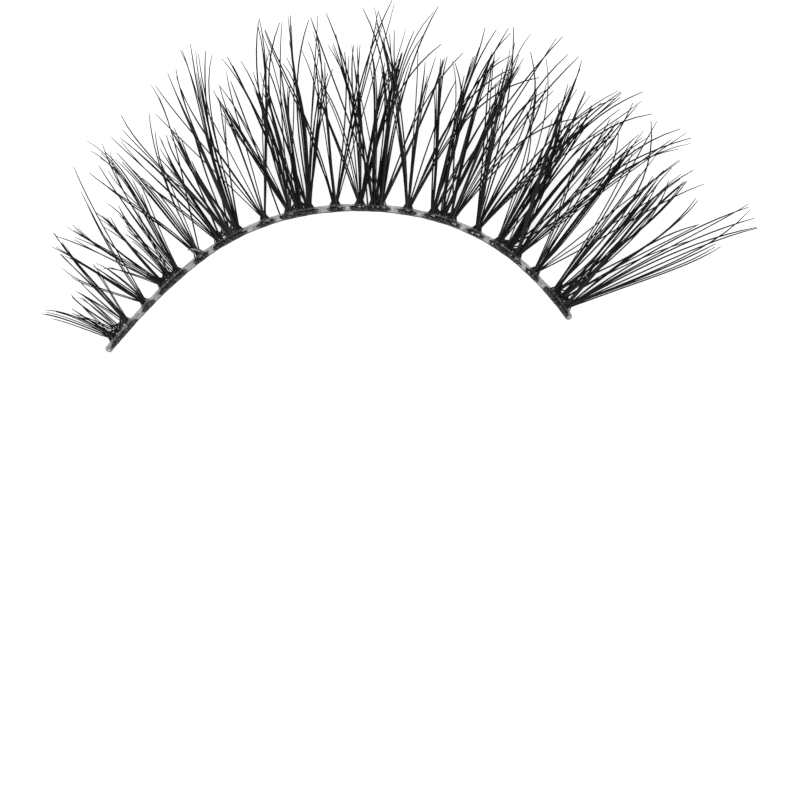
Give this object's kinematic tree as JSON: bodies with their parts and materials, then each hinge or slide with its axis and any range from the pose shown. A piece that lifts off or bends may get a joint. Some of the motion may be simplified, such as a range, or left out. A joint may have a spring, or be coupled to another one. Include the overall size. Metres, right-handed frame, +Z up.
{
  "type": "false eyelash strip",
  "caption": "False eyelash strip: a thin clear band bent to the lid's curve carries knotted tufts of black lashes that fan out, cross each other and curl up towards the tips",
  "frame": {"origin": "on the underside of the band, where its curve is level and the middle lashes stand straight out", "axes": "+X along the strip, towards the outer corner of the eye; +Y out along the middle lashes; +Z up, the way the lashes curl, with the band's underside on Z = 0"},
  "size_m": [0.0441, 0.0216, 0.0065],
  "materials": {
    "clear_band": "clear, slightly milky flexible band with a soft gloss",
    "black_hair": "black synthetic fibre with a silky sheen"
  },
  "bodies": {
    "root": {"band": "clear_band", "tuft_01": "black_hair", "tuft_02": "black_hair", "tuft_03": "black_hair", "tuft_04": "black_hair", "tuft_05": "black_hair", "tuft_06": "black_hair", "tuft_07": "black_hair", "tuft_08": "black_hair", "tuft_09": "black_hair", "tuft_10": "black_hair", "tuft_11": "black_hair", "tuft_12": "black_hair", "tuft_13": "black_hair", "tuft_14": "black_hair", "tuft_15": "black_hair", "tuft_16": "black_hair", "tuft_17": "black_hair", "tuft_18": "black_hair", "tuft_19": "black_hair", "tuft_20": "black_hair", "tuft_21": "black_hair", "tuft_22": "black_hair", "tuft_23": "black_hair", "tuft_24": "black_hair", "tuft_25": "black_hair", "tuft_26": "black_hair", "tuft_27": "black_hair", "tuft_28": "black_hair", "tuft_29": "black_hair", "tuft_30": "black_hair", "tuft_31": "black_hair"}
  },
  "joints": []
}
